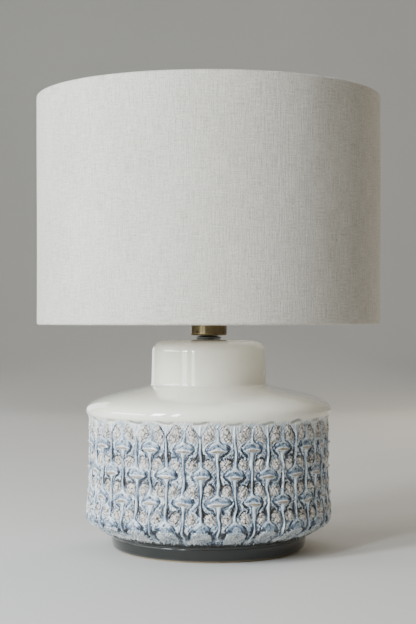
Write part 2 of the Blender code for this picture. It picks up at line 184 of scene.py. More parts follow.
class Look:
    """A Principled material, with short ways to feed its sockets. Its colours are as a screen shows them."""

    def __init__(self, name, **plain):
        self.material = bpy.data.materials.new(name)
        self.material.use_nodes = True
        self.nodes = self.material.node_tree.nodes
        self.links = self.material.node_tree.links
        self.shader = self.nodes["Principled BSDF"]
        for socket, value in plain.items():
            self.feed(self.shader.inputs[socket.replace("_", " ")], value)

    def feed(self, socket, value):
        if isinstance(value, bpy.types.NodeSocket):
            self.links.new(value, socket)
        elif hasattr(value, "__len__") and len(value) == 3 and socket.type == "RGBA":
            socket.default_value = linear(value)
        else:
            socket.default_value = value

    def put(self, socket, value):
        self.feed(self.shader.inputs[socket], value)

    def add(self, kind, sockets=(), **settings):
        node = self.nodes.new(kind)
        for key, value in settings.items():
            setattr(node, key, value)
        for key, value in dict(sockets).items():
            self.feed(node.inputs[key], value)
        return node

    def solid_place(self, scale=(1, 1, 1)):
        """Object coordinates, in millimetres before the scale."""
        place = self.add("ShaderNodeTexCoord").outputs["Object"]
        scale = tuple(1 / MM * s for s in scale)
        return self.add("ShaderNodeMapping", {"Vector": place, "Scale": scale}).outputs[0]

    def cloth_place(self, across, along):
        """The piece's own UV, in millimetres before the two scales."""
        place = self.add("ShaderNodeUVMap", uv_map="cloth").outputs[0]
        return self.add("ShaderNodeMapping", {"Vector": place, "Scale": (across, along, 1)}).outputs[0]

    def attribute(self, name):
        return self.add("ShaderNodeAttribute", attribute_name=name).outputs["Fac"]

    def noise(self, place, scale, detail=2.0, roughness=0.5, distortion=0.0):
        sockets = {"Vector": place, "Scale": scale, "Detail": detail}
        sockets |= {"Roughness": roughness, "Distortion": distortion}
        return self.add("ShaderNodeTexNoise", sockets).outputs[0]

    def cracks(self, place, scale):
        """Distance to the nearest border between cells."""
        sockets = {"Vector": place, "Scale": scale}
        return self.add("ShaderNodeTexVoronoi", sockets, feature="DISTANCE_TO_EDGE").outputs[0]

    def centred(self, noise, size):
        """A noise of 0 to 1, moved to lie round 0."""
        return self.times(self.math("SUBTRACT", noise, 0.5), size)

    def warp(self, place, scale, reach):
        """Coordinates pushed about by up to half the reach."""
        sockets = {"Vector": place, "Scale": scale, "Detail": 2.0}
        push = self.add("ShaderNodeTexNoise", sockets).outputs["Color"]
        node = self.add("ShaderNodeVectorMath", operation="MULTIPLY_ADD")
        self.feed(node.inputs[0], push)
        node.inputs[1].default_value = (reach, reach, reach)
        self.feed(node.inputs[2], place)
        return node.outputs[0]

    def math(self, operation, *values):
        """Two values, or a run of them taken one after another."""
        total = values[0]
        for value in values[1:]:
            node = self.add("ShaderNodeMath", operation=operation)
            self.feed(node.inputs[0], total)
            self.feed(node.inputs[1], value)
            total = node.outputs[0]
        return total

    def sum(self, *values):
        return self.math("ADD", *values)

    def times(self, *values):
        return self.math("MULTIPLY", *values)

    def remap(self, value, from_low, from_high, to_low=0.0, to_high=1.0):
        sockets = {"Value": value, "From Min": from_low, "From Max": from_high}
        sockets |= {"To Min": to_low, "To Max": to_high}
        return self.add("ShaderNodeMapRange", sockets).outputs[0]

    def ramp(self, value, *stops):
        node = self.add("ShaderNodeValToRGB", {"Fac": value})
        elements = node.color_ramp.elements
        while len(elements) < len(stops):
            elements.new(0.5)
        for element, (at, colour) in zip(elements, stops):
            element.position = at
            element.color = linear(colour)
        return node.outputs[0]

    def mix(self, share, a, b):
        node = self.add("ShaderNodeMix", data_type="RGBA")
        self.feed(node.inputs["Factor"], share)
        self.feed(node.inputs[6], a)
        self.feed(node.inputs[7], b)
        return node.outputs[2]

    def bump(self, height, depth):
        """Height 1 stands depth millimetres proud."""
        node = self.add("ShaderNodeBump", {"Height": height, "Distance": depth * MM})
        self.put("Normal", node.outputs[0])


FOOT_GREY = (30, 32, 29)


def linen_look():
    """Plain-woven linen: thread by thread tone, thick slubs along the height, and dark flecks."""
    look = Look("linen", Roughness=0.92, Specular_IOR_Level=0.25, Sheen_Weight=0.3, Sheen_Roughness=0.4)
    warp = look.noise(look.cloth_place(1.5, 0.06), 1.0, 2.0, 0.7)
    weft = look.noise(look.cloth_place(0.06, 1.4), 1.0, 2.0, 0.7)
    slub = look.noise(look.cloth_place(0.62, 0.03), 1.0, 3.0, 0.6)
    cloud = look.noise(look.cloth_place(0.02, 0.008), 1.0, 3.0, 0.6)
    knots = look.noise(look.cloth_place(0.6, 0.45), 1.0, 2.0, 0.7)
    shares = ((warp, 0.85), (weft, 0.8), (slub, 0.3), (cloud, 0.25), (knots, 0.75))
    tone = look.sum(*(look.centred(noise, share) for noise, share in shares), 0.5)
    colour = look.ramp(tone, (0.1, (162, 156, 144)), (0.5, (207, 202, 191)), (0.9, (235, 230, 220)))
    fleck = look.remap(look.noise(look.cloth_place(0.9, 0.42), 1.0, 1.0), 0.72, 0.78)
    look.put("Base Color", look.mix(look.times(fleck, 0.75), colour, (112, 94, 74)))
    pitch = math.pi / 0.72
    across = look.add("ShaderNodeSeparateXYZ", {"Vector": look.cloth_place(pitch, pitch)}).outputs
    weave = look.times(look.math("SINE", across[0], 0.0), look.math("SINE", across[1], 0.0))
    height = look.sum(look.times(weave, 0.35), warp, look.times(weft, 0.6), slub)
    look.bump(height, 0.32)
    return look.material


def liner_look():
    """The stiff white styrene inside the shade, faintly clouded."""
    look = Look("liner", Roughness=0.42, Specular_IOR_Level=0.4)
    cloud = look.noise(look.solid_place(), 0.03, 4.0)
    look.put("Base Color", look.ramp(cloud, (0.3, (226, 222, 212)), (0.7, (238, 236, 228))))
    look.bump(look.noise(look.cloth_place(1.4, 0.5), 1.0, 2.0), 0.05)
    return look.material


def white_glaze_colour(look):
    cloud = look.noise(look.solid_place(), 0.045, 4.0, 0.6)
    return look.ramp(cloud, (0.3, (245, 241, 224)), (0.72, (251, 248, 234)))


def white_glaze_look():
    """Thick warm white glaze with a faint mottle and pinholes."""
    look = Look("white_glaze", Roughness=0.06, IOR=1.58, Coat_Weight=1.0, Coat_Roughness=0.02)
    speck = look.remap(look.noise(look.solid_place(), 0.7, 1.0), 0.79, 0.83)
    look.put("Base Color", look.mix(look.times(speck, 0.4), white_glaze_colour(look), (150, 138, 118)))
    look.bump(look.noise(look.solid_place(), 0.12, 2.0), 0.02)
    return look.material


def foot_look():
    """Dark grey glaze, worn thin to tan clay where the bare attribute says so."""
    look = Look("foot_glaze", IOR=1.5, Coat_Weight=0.4, Coat_Roughness=0.05)
    cloud = look.noise(look.solid_place(), 0.09, 4.0, 0.6)
    colour = look.ramp(cloud, (0.35, FOOT_GREY), (0.7, (38, 40, 37)))
    bare = look.remap(look.sum(look.attribute("bare"), look.centred(cloud, 0.5)), 0.42, 0.58)
    look.put("Base Color", look.mix(bare, colour, (176, 152, 116)))
    look.put("Roughness", look.remap(bare, 0.0, 1.0, 0.16, 0.8))
    look.bump(look.noise(look.solid_place(), 0.5, 3.0), 0.06)
    return look.material


def relief_look():
    """Blue and white glaze that has run over the relief and crazed on its lumps.

    The mesh carries how dark the glaze is, both where it pools and where shadow is painted over the
    lumps and under the slits, how far each point is from the nearest raised feature, which the glaze's
    streaks follow, and where clay, ridges, the lip's glaze and its painted shadows, and the foot's
    glaze show.
    """
    look = Look("relief_glaze", IOR=1.55, Coat_Weight=0.7, Coat_Roughness=0.05)
    place = look.solid_place()
    fine = look.noise(place, 2.2, 3.0, 0.6)
    wide = look.noise(look.solid_place((1, 1, 0.35)), 0.5, 3.0, 0.6)
    along = look.add("ShaderNodeSeparateXYZ", {"Vector": look.solid_place((0.09, 0.09, 0.07))}).outputs
    follow = {"X": look.times(look.attribute("flow"), 0.95), "Y": along[2]}
    follow["Z"] = look.sum(along[0], along[1])
    follow = look.add("ShaderNodeCombineXYZ", follow).outputs[0]
    lines = look.noise(follow, 1.0, 3.0, 0.65, 0.4)
    free = look.remap(look.attribute("flow"), -1.0, 1.6, 0.7, 1.9)
    calm = look.remap(along[2], 0.07 * 112, 0.07 * 126, 1.0, 0.4)
    stir = look.times(look.centred(lines, 1.25), free, calm)
    vein = look.remap(look.math("ABSOLUTE", look.centred(lines, 1.0), 0.0), 0.0, 0.035, 0.34, 0.0)
    vein = look.times(vein, look.remap(wide, 0.42, 0.56), calm)
    tone = look.sum(look.attribute("tone"), stir, vein, look.centred(fine, 0.25), look.centred(wide, 0.5))
    glaze = look.ramp(
        tone,
        (0.02, (238, 241, 240)),
        (0.15, (214, 222, 224)),
        (0.29, (172, 187, 198)),
        (0.44, (118, 138, 158)),
        (0.6, (66, 84, 106)),
        (0.78, (38, 43, 52)),
        (0.96, (42, 36, 31)),
    )

    crazed = look.warp(look.solid_place((1, 1, 0.8)), 0.5, 1.5)
    crack = look.remap(look.cracks(crazed, 0.22), 0.02, 0.13)
    web = look.remap(look.cracks(crazed, 0.62), 0.0, 0.16, 0.5, 1.0)
    heal = look.remap(look.noise(place, 0.3, 2.0), 0.5, 0.64)
    crack = look.math("MAXIMUM", look.math("MINIMUM", crack, web), heal)
    lump = look.ramp(look.noise(place, 0.45, 4.0, 0.6), (0.34, (222, 215, 204)), (0.62, (246, 241, 232)))
    lump = look.mix(crack, (58, 50, 45), lump)
    clay = look.remap(look.sum(look.attribute("clay"), look.centred(fine, 0.5)), 0.4, 0.6)
    colour = look.mix(clay, glaze, lump)

    grain = look.noise(look.solid_place((1, 1, 2.5)), 0.7, 3.0)
    tan = look.ramp(grain, (0.38, (104, 90, 72)), (0.62, (184, 172, 152)))
    ridge = look.remap(look.sum(look.attribute("ridge"), look.centred(fine, 0.5)), 0.4, 0.66)
    colour = look.mix(ridge, colour, tan)
    lip = look.remap(look.sum(look.attribute("lip"), look.centred(lines, 0.7)), 0.3, 0.7)
    colour = look.mix(lip, colour, white_glaze_colour(look))
    colour = look.mix(look.times(look.attribute("shadow"), 0.9), colour, (112, 120, 124))
    foot = look.remap(look.sum(look.attribute("foot"), look.centred(fine, 0.6)), 0.44, 0.56)
    look.put("Base Color", look.mix(foot, colour, FOOT_GREY))
    look.put("Roughness", look.sum(look.times(clay, 0.34), look.times(ridge, 0.22), 0.17))
    height = look.sum(look.times(crack, clay, 0.9), look.times(lines, 0.35), look.times(fine, 0.12))
    look.bump(height, 0.6)
    return look.material


def metal_look(name, dark, light, roughness, scratch):
    """A metal with uneven tarnish and turning marks, whose scratches are that deep."""
    look = Look(name, Metallic=1.0)
    cloud = look.noise(look.solid_place(), 0.16, 4.0, 0.6)
    marks = look.noise(look.solid_place((1, 1, 9)), 0.9, 3.0, 0.6)
    tone = look.sum(look.times(cloud, 0.7), look.times(marks, 0.3))
    look.put("Base Color", look.ramp(tone, (0.32, dark), (0.62, light)))
    look.put("Roughness", look.remap(tone, 0.3, 0.7, roughness + 0.1, roughness - 0.05))
    look.bump(marks, scratch)
    return look.material


def plain_look(name, dark, light, roughness, grain, depth, **plain):
    """A plastic, felt, board or rubber: two near tones in a grain of that scale, with its bump."""
    look = Look(name, Roughness=roughness, **plain)
    speckle = look.noise(look.solid_place(), grain, 4.0, 0.65)
    look.put("Base Color", look.ramp(speckle, (0.3, dark), (0.7, light)))
    look.bump(speckle, depth)
    return look.material


LINEN = linen_look()
LINER = liner_look()
WHITE_GLAZE = white_glaze_look()
FOOT_GLAZE = foot_look()
RELIEF_GLAZE = relief_look()
BRASS = metal_look("brass", (116, 104, 77), (135, 121, 91), 0.22, 0.0)
GUNMETAL = metal_look("gunmetal", (112, 114, 112), (142, 144, 140), 0.42, 0.02)
NICKEL = metal_look("nickel", (176, 174, 168), (214, 212, 206), 0.2, 0.02)
STEEL = metal_look("steel", (150, 150, 148), (188, 188, 184), 0.34, 0.04)
ENAMEL = plain_look("enamel", (226, 225, 219), (238, 237, 232), 0.32, 0.5, 0.03)
PORCELAIN = plain_look("porcelain", (222, 218, 206), (236, 233, 222), 0.25, 0.3, 0.03)
BULB_PLASTIC = plain_look("bulb_plastic", (228, 228, 224), (238, 238, 235), 0.38, 0.6, 0.02)
OPAL = plain_look("opal", (236, 236, 232), (244, 244, 240), 0.3, 0.1, 0.01, Subsurface_Weight=0.3)
BLACK_GLASS = plain_look("black_glass", (16, 16, 18), (26, 26, 28), 0.12, 0.4, 0.01)
RUBBER = plain_look("rubber", (24, 24, 24), (34, 34, 33), 0.7, 1.2, 0.05)
GREY_PLASTIC = plain_look("grey_plastic", (44, 44, 43), (56, 56, 55), 0.42, 0.9, 0.03)
FELT = plain_look("felt", (176, 160, 132), (206, 192, 164), 0.97, 1.6, 0.5)
BOARD = plain_look("board", (112, 84, 56), (142, 112, 78), 0.8, 0.8, 0.08)


# ---------------------------------------------------------------- the ceramic body

BODY_RADIUS, BODY_BOTTOM, BODY_TOP = span("ceramic_body")
NECK_RADIUS = 58.2
NECK_EDGE_DROP = 1.4
NECK_EDGE_WIDTH = 12.2
NECK_EDGE_HEIGHT = 12.4
NECK_FLARE = 0.7
NECK_FILLET = 3.4
CROWN_START = 17.0  # where the neck's flat top starts to round over
CROWN_TURN = 38.0
ROD_GAP = 1.1
SHOULDER_TOP = 166.0
SLOPE_END = (89.6, 160.0)
LIP_RADIUS = 125.0
LIP_HEIGHT = 142.2  # the widest part of the lip, where the relief's piece takes over from the neck's
LIP_BOTTOM = 136.5
BAND_RADIUS = 123.4
BAND_STRAIGHT_END = 82.0
BAND_BOTTOM = 38.0
UNDERCUT_TOP = (124.6, 29.5)
FOOT_RADIUS = 99.4
FOOT_TOP = 13.7
FOOT_ROUND = 5.2


def make_neck():
    """The smooth upper part, down to the widest part of the lip."""
    crown = (NECK_RADIUS - NECK_EDGE_WIDTH, BODY_TOP - NECK_EDGE_DROP)
    over = (NECK_RADIUS, crown[1] - NECK_EDGE_WIDTH * NECK_EDGE_DROP / (crown[0] - CROWN_TURN))
    wall = NECK_RADIUS + NECK_FLARE
    slope = (SLOPE_END[1] - SHOULDER_TOP) / (SLOPE_END[0] - wall - NECK_FILLET)
    corner = (LIP_RADIUS, SLOPE_END[1] + slope * (LIP_RADIUS - SLOPE_END[0]))
    hole = span("threaded_nipple")[0] + ROD_GAP
    profile = [(hole, BODY_TOP - 8), (hole, BODY_TOP)]
    profile += between((hole, BODY_TOP), (CROWN_START, BODY_TOP), 3)
    profile += bend(profile[-1], (CROWN_TURN, BODY_TOP), crown, 16)
    profile += bend(crown, over, (NECK_RADIUS, BODY_TOP - NECK_EDGE_HEIGHT), 28)
    profile += between(profile[-1], (wall, SHOULDER_TOP + NECK_FILLET), 8)
    profile += arc((wall + NECK_FILLET, SHOULDER_TOP + NECK_FILLET), NECK_FILLET, 180, 264, 8)[1:]
    profile += between(profile[-1], SLOPE_END, 8)
    profile += bend(SLOPE_END, corner, (LIP_RADIUS, LIP_HEIGHT), 28)
    inside = [(LIP_RADIUS - 8, LIP_HEIGHT), (LIP_RADIUS - 16, LIP_HEIGHT + 3), (86.0, 153.0)]
    inside += [(NECK_RADIUS - 7, 158.0), (NECK_RADIUS - 7, BODY_TOP - 18), (NECK_RADIUS - 14, BODY_TOP - 8)]
    neck = lathe("ceramic_neck", profile + inside, 256, WHITE_GLAZE, sharp=50)
    return attach(neck, "base", "glazed_ceramic", "ceramic_body")


def band_profile():
    """Radius and height along the relief band from the lip to the foot, evenly spaced."""
    points = [(LIP_RADIUS, LIP_HEIGHT)]
    points += bend(points[-1], (LIP_RADIUS, (LIP_HEIGHT + LIP_BOTTOM) / 2), (BAND_RADIUS, LIP_BOTTOM), 12)
    points += [(BAND_RADIUS, BAND_STRAIGHT_END)]
    flare = (BODY_RADIUS, BAND_BOTTOM)
    points += bend(points[-1], (BAND_RADIUS, (BAND_STRAIGHT_END + BAND_BOTTOM) / 2), flare, 20)
    points += bend(flare, (BODY_RADIUS + 0.3, 32.5), (UNDERCUT_TOP[0] - 1.5, UNDERCUT_TOP[1] - 1.0), 12)
    points += [(FOOT_RADIUS - 0.3, FOOT_TOP - 0.2)]
    points = np.array(points)
    along = np.concatenate([[0], np.cumsum(np.hypot(*np.diff(points, axis=0).T))])
    even = np.linspace(0, along[-1], RELIEF_ROWS + 1)
    return even, np.interp(even, along, points[:, 0]), np.interp(even, along, points[:, 1])


COLUMNS = 23
COLUMN_STEPS = 66  # mesh columns in one column of the pattern
RELIEF_ROWS = 246
PITCH = 2 * math.pi * BAND_RADIUS / COLUMNS
ROW_SPACING = 25.2
FIRST_ROW = LIP_HEIGHT - 134.7  # how far below the widest part of the lip row 0 has its centre
TURN = math.radians(4.2)
SECTORS = 3
RECESS = -3.7
CAP_WIDTH = 11.2  # half of a cap's width, and its height above the slit
CAP_HEIGHT = 7.8
RIB_REACH = 2 * ROW_SPACING - CAP_HEIGHT  # a rib ends on the cap two rows below its slit
GLAZE_END = 132.8  # where the blue glaze stops along the profile


def waves(angle, along, count, turns, lengths, seed):
    """Smooth noise that closes round the lamp, of about unit size.

    Turns is the range of waves in one turn, and lengths the range of wavelengths along the profile.
    """
    draw = np.random.default_rng(seed)
    total = np.zeros(np.broadcast(angle, along).shape)
    for _ in range(count):
        around = draw.integers(*turns) * draw.choice((-1, 1))
        height = 2 * np.pi / draw.uniform(*lengths)
        total += np.sin(around * angle + height * along + draw.uniform(0, 2 * np.pi))
    return total / math.sqrt(count / 2)


def curve_through(value, *stops):
    at, heights = zip(*stops)
    return np.interp(value, at, heights)


def stroke(x, y, *path):
    """Distance to a path of straight runs."""
    best = np.full(x.shape, 99.0)
    for (ax, ay), (bx, by) in zip(path, path[1:]):
        dx, dy = bx - ax, by - ay
        t = np.clip(((x - ax) * dx + (y - ay) * dy) / (dx * dx + dy * dy), 0, 1)
        best = np.minimum(best, np.hypot(x - ax - t * dx, y - ay - t * dy))
    return best


class Cell:
    """A row of the pattern: millimetres across and up from each cell's centre, and its own traits."""

    def __init__(self, relief, row):
        shift = 0.0 if row % 2 else 0.5
        turns = (relief.angle - TURN) / (2 * np.pi) * COLUMNS - shift
        column = np.round(turns).astype(int) % COLUMNS
        draw = np.random.default_rng(60 + row)
        jitter = draw.normal(size=(3, COLUMNS))[:, column]
        self.traits = draw.uniform(size=(12, COLUMNS))[:, column]
        self.across = (turns - np.round(turns)) * PITCH - 0.4 * jitter[0] + relief.bend_across
        self.up = FIRST_ROW + row * ROW_SPACING - relief.along - 0.35 * jitter[1] + relief.bend_along
        self.across = self.across * (1 + 0.04 * jitter[2])
        self.left = self.across < 0
        self.out = np.abs(self.across)

    def either(self, trait):
        """One trait on the cell's left side, and the next one on its right."""
        return np.where(self.left, self.traits[trait], self.traits[trait + 1])


class Relief:
    """The band's height over its profile, and the masks that its glaze is painted from."""

    def __init__(self, angle, along):
        self.angle = angle
        self.along = along
        self.bend_across = 0.5 * waves(angle, along, 14, (6, 50), (12, 60), 1)
        self.bend_along = 0.4 * waves(angle, along, 14, (6, 50), (12, 60), 2)
        self.streak = waves(angle, along, 40, (150, 620), (14, 90), 3)
        self.rough = waves(angle, along, 60, (150, 700), (1.6, 6.0), 4)
        self.knobs = waves(angle, along, 40, (130, 330), (2.6, 6.0), 5)
        shape = np.broadcast(angle, along).shape
        self.height = RECESS + 0.15 * self.rough
        self.tone = 0.37 + 0.14 * self.streak
        self.flow = np.full(shape, 8.0)
        self.clay = np.zeros(shape)
        self.ridge = np.zeros(shape)

    def paint(self, share, tone):
        self.tone = self.tone * (1 - share) + tone * share
        self.clay = self.clay * (1 - share)

    def raise_to(self, height, share=1.0):
        self.height = np.maximum(self.height, self.height * (1 - share) + height * share)

    def sink(self, mask, depth, share, tone):
        """A hollow where the mask is 1, with the glaze's tone in it painted by its own share."""
        self.height = self.height - depth * mask
        self.paint(share, tone)

    def lumps(self, row):
        """The crazed lumps between a row and the next, one on each side of every slit."""
        cell = Cell(self, row)
        first = row == 0
        size = 0.92 + 0.16 * cell.either(2)
        lean = np.radians(26 if first else 10) - 0.35 * (cell.either(4) - 0.5)
        x = cell.out - (8.8 if first else 8.0)
        y = cell.up + (10.8 if first else 13.6)
        a = (x * np.cos(lean) - y * np.sin(lean)) / ((5.7 if first else 5.4) * size)
        b = (x * np.sin(lean) + y * np.cos(lean)) / ((9.6 if first else 6.1) * size)
        away = (np.abs(a) ** 2.5 + np.abs(b) ** 2.5) ** (1 / 2.5) + 0.05 * self.rough
        drop = 1.6 if first else 2.3
        self.raise_to(-1.1 - drop * ease(0.30, 1.12, away) + 0.12 * self.rough + 0.34 * self.knobs)
        here = away < 1.7
        if not first:
            self.flow = np.where(here, np.minimum(self.flow, (away - 1) * 5), self.flow)
        rim = ease(1.5, 1.25, away) * here
        if first:
            self.paint(rim, 0.2 + 0.06 * self.streak)
        else:
            self.paint(rim, curve_through(away, (0.9, 0.34), (1.04, 0.48), (1.16, 0.12), (1.5, 0.3)))
        # Painted shadow: a dark arch along the top of each lump, over a groove 0.9 mm deep.
        shadow_arch = ease(0.90, 1.02, away) * ease(1.42, 1.2, away) * ease(-0.1, 0.5, b)
        dark = shadow_arch * ease(0.0, 0.5, cell.either(6)) * here * (0.0 if first else 1.0)
        self.sink(dark, 0.9, 0.95 * dark, 0.94)
        self.clay = np.maximum(self.clay, ease(1.04, 0.94, away) * (0.64 if first else 1.0))

    def cap(self, row, slit=True):
        """A domed cap, its dark ends that curl in below, and the small dent in its top."""
        cell = Cell(self, row)
        wide = CAP_WIDTH * (0.94 + 0.12 * cell.traits[8])
        tall = np.where(cell.up > 0, CAP_HEIGHT, 3.4)
        peak = 0.9 * np.exp(-((cell.across / 2.6) ** 2))
        away = np.sqrt((cell.across / wide) ** 2 + ((cell.up - peak * (cell.up > 0)) / tall) ** 2)
        dome = -0.9 - 0.5 * away**2 - 2.6 * ease(0.84, 1.10, away)
        under = np.where(away > 0.9, self.height, -9)
        self.height = np.where(away < 1.2, np.maximum(dome, under), self.height)
        self.flow = np.where(away < 1.7, np.minimum(self.flow, (away - 1) * 7), self.flow)
        streaked = away + 0.03 * self.streak
        above = ease(-0.8, 0.6, cell.up)
        stops = [(0.3, 0.34), (0.55, 0.46), (0.78, 0.32), (0.92, 0.08), (1.06, 0.3), (1.2, 0.12)]
        top = curve_through(streaked, *stops)
        stops = [(0.5, 0.42), (0.72, 0.5), (0.86, 0.16), (0.95, 0.56), (1.05, 0.74), (1.14, 0.14)]
        side = curve_through(streaked, *stops)
        tone = top + (side - top) * ease(4.5, 9.0, cell.out)
        self.paint(ease(1.34, 1.2, away) * above, tone)
        ends = ease(5.6, 8.2, cell.out) * ease(1.02, 0.92, away) * ease(0.66, 0.8, away)
        ends *= ease(5.5, 2.0, np.abs(cell.up))
        self.paint(ends * (0.6 + 0.4 * cell.either(0)), 0.74)
        dent = np.hypot(cell.across - 1.6 * (cell.traits[9] - 0.5), (cell.up - 5.4) * 1.6)
        dent = ease(1.5, 0.4, dent / (0.8 + 0.7 * cell.traits[10]) + 0.2 * self.rough)
        self.sink(dent, 0.7, 0.7 * dent, 0.74)
        if slit:
            self.curls(cell)

    def curls(self, cell):
        """The pooled glaze that hangs from a cap's ends and turns in towards the stem."""
        end = 7.4 + 2.2 * cell.either(4)
        path = [(CAP_WIDTH - 0.4, 1.0), (9.0, -2.2), (6.4, -4.0), (4.9, -5.8), (5.2, -8.6)]
        drop = stroke(cell.out, cell.up, *path) + 0.25 * self.rough
        below = ease(1.5, 0.0, cell.up) * ease(-end - 0.8, -end + 0.8, cell.up)
        self.raise_to(-2.0, ease(3.0, 1.8, drop) * ease(0.8, 1.6, drop) * below)
        self.paint(ease(3.2, 2.2, drop) * below, 0.12)
        thick = 0.8 + 0.9 * cell.either(2)
        dark = ease(thick + 0.6, thick - 0.2, drop) * below
        self.sink(dark, 1.3, dark * (0.55 + 0.45 * cell.either(0)), 0.68 + 0.26 * cell.either(6))

    def rib(self, row):
        """Glaze run from under a slit, between two caps of the next row, onto the cap two rows below."""
        cell = Cell(self, row)
        down = -cell.up
        widths = [(0.4, 5.6), (1.6, 4.0), (3.0, 2.5), (5.5, 1.6), (9.0, 1.0), (20, 0.8), (30, 1.0)]
        widths += [(RIB_REACH - 5, 0.9), (RIB_REACH - 2, 1.3), (RIB_REACH - 0.6, 2.4), (RIB_REACH + 0.6, 4.6)]
        half = curve_through(down, *widths)
        if row < 1:
            half = curve_through(down, (14, 0.7), (20, 0.9), (30, 1.0), *widths[-4:])
        if row < 0:
            half = half * 0.8
        sway = 0.4 * np.sin(0.3 * down + 6.3 * cell.traits[11]) * ease(4, 10, down)
        away = np.abs(cell.across + sway) - half
        here = ease(0.4, 1.6, down) * ease(RIB_REACH + 1.5, RIB_REACH - 0.5, down)
        if row < 0:
            here *= ease(ROW_SPACING + 4.6, ROW_SPACING + 6.6, down)
        groove = (0.35 * np.cos(2.6 * away) - 0.35) * ease(0.2, -0.4, away)
        self.raise_to(-0.8 - 2.7 * ease(-0.9, 1.1, away) + 0.5 * groove, here)
        self.flow = np.where(here > 0.5, np.minimum(self.flow, away), self.flow)
        stops = [(-3.5, 0.04), (-1.6, 0.08), (-0.6, 0.16), (0.3, 0.44), (1.0, 0.58), (1.8, 0.3)]
        self.paint(here * ease(2.2, 1.2, away), curve_through(away, *stops))
        level = down - ROW_SPACING
        wide = curve_through(level, (-9, -0.6), (-6, 0.6), (2, 1.6), (7, 3.3), (9.5, 2.4), (12, -0.6))
        wedge = ease(wide + 0.5, wide - 0.3, away) * ease(0.0, 0.6, away) * here
        wedge *= ease(0.0, 0.45, cell.either(0)) * (row >= 0)
        self.sink(wedge, 0.9, wedge, 0.78 + 0.2 * ease(0, 7, level))

    def slit(self, row):
        """The bare clay ridge at a cap's foot in a lens of thick white glaze, with painted shade below."""
        cell = Cell(self, row)
        size = 0.92 + 0.14 * cell.traits[8]
        skew = cell.up + 0.03 * (cell.traits[9] - 0.5) * cell.across
        lens = np.sqrt((cell.across / (8.9 * size)) ** 2 + (skew / 2.0) ** 2)
        self.raise_to(-0.2 - 1.0 * lens**2, ease(1.15, 0.95, lens))
        self.paint(ease(1.16, 0.9, lens), curve_through(lens, (0.0, 0.04), (0.75, 0.04), (1.0, 0.22)))
        bare = np.sqrt((cell.across / (8.0 * size)) ** 2 + ((skew + 0.1) / 1.15) ** 2)
        self.raise_to(0.65 - 1.1 * bare**2, ease(1.1, 0.9, bare))
        self.ridge = np.maximum(self.ridge, ease(1.15, 0.75, bare))
        # Painted shadow: a darker band of glaze just below the ridge.
        under = ease(0.6, 0.0, np.abs(skew + 1.5)) * ease(8.0, 5.5, cell.out)
        self.paint(0.35 * under, 0.6)

    def moons(self, row):
        """The crazed half-moons under the arches of the last row, out to the ragged edge of the glaze."""
        cell = Cell(self, row)
        under = -1.8 - 4.2 * (cell.across / 10.4) ** 4 - cell.up
        inside = ease(-0.4, 0.8, under) * ease(11.2, 10.2, cell.out + 0.3 * self.rough)
        horn = stroke(cell.out, cell.up, (6.6, -0.6), (10.6, -3.2), (12.3, -8.0), (12.8, -15.0))
        horn = ease(2.5, 1.3, horn + 0.2 * self.rough) * (0.65 + 0.35 * cell.either(0))
        self.sink(horn, 1.4, horn, 0.64 + 0.3 * ease(1.0, 5.0, -cell.up))
        bulge = -1.4 + 0.3 * self.rough + 0.35 * self.knobs
        self.height = np.where(inside > 0.5, np.maximum(self.height, bulge), self.height)
        crackle = ease(0.35, 0.95, np.sin(3.6 * cell.across + 2.2 * self.rough + 1.5 * self.knobs))
        self.paint(inside, 0.06 + 0.62 * crackle * ease(-0.3, 0.8, self.knobs))
        self.clay = np.maximum(self.clay, 0.42 * inside * ease(0.0, 2.0, under))

    def crown(self):
        """Row 0, under the lip: a pale fork over each rib, and the lip's glaze run down between shadows."""
        cell = Cell(self, 0)
        pale = 0.7 * ease(27.0, 13.0, self.along)
        self.tone += (0.13 - self.tone) * pale
        fork = stroke(cell.out, cell.up, (0.6, -13.5), (1.5, -11.0), (7.6, -2.6)) + 0.15 * self.rough
        inside = ease(-13.5, -11.5, cell.up) * ease(0.4, -0.6, cell.out - 0.2 - (cell.up + 13.0) * 0.66)
        self.raise_to(-2.0 + 0.1 * self.streak, inside)
        self.paint(inside, 0.14 + 0.1 * self.streak)
        line = ease(0.85, 0.15, fork) * ease(-1.6, -4.5, cell.up) * ease(0.25, 0.8, cell.either(0))
        self.sink(line, 0.8, line, 0.86)
        odd = ease(1.6, 0.4, np.abs(cell.out - PITCH / 2)) * ease(-1.0, -5.0, cell.up)
        self.paint(0.6 * odd * ease(-15.0, -12.0, cell.up), 0.36)
        shadow = ease(10.5, 5.0, cell.out + 1.2 * self.streak) * ease(2.1, 0.3, np.abs(cell.up - 0.2))
        self.shadow = shadow * (0.7 + 0.3 * cell.traits[9])
        edge = 8.2 + 0.9 * self.streak + 1.6 * np.cos(2 * np.pi * cell.across / PITCH)
        self.lip = ease(edge + 2.5, edge - 3.0, self.along)
        fade = ease(4.0, 11.0, self.along)
        self.height = self.height * fade - 0.9 * self.shadow


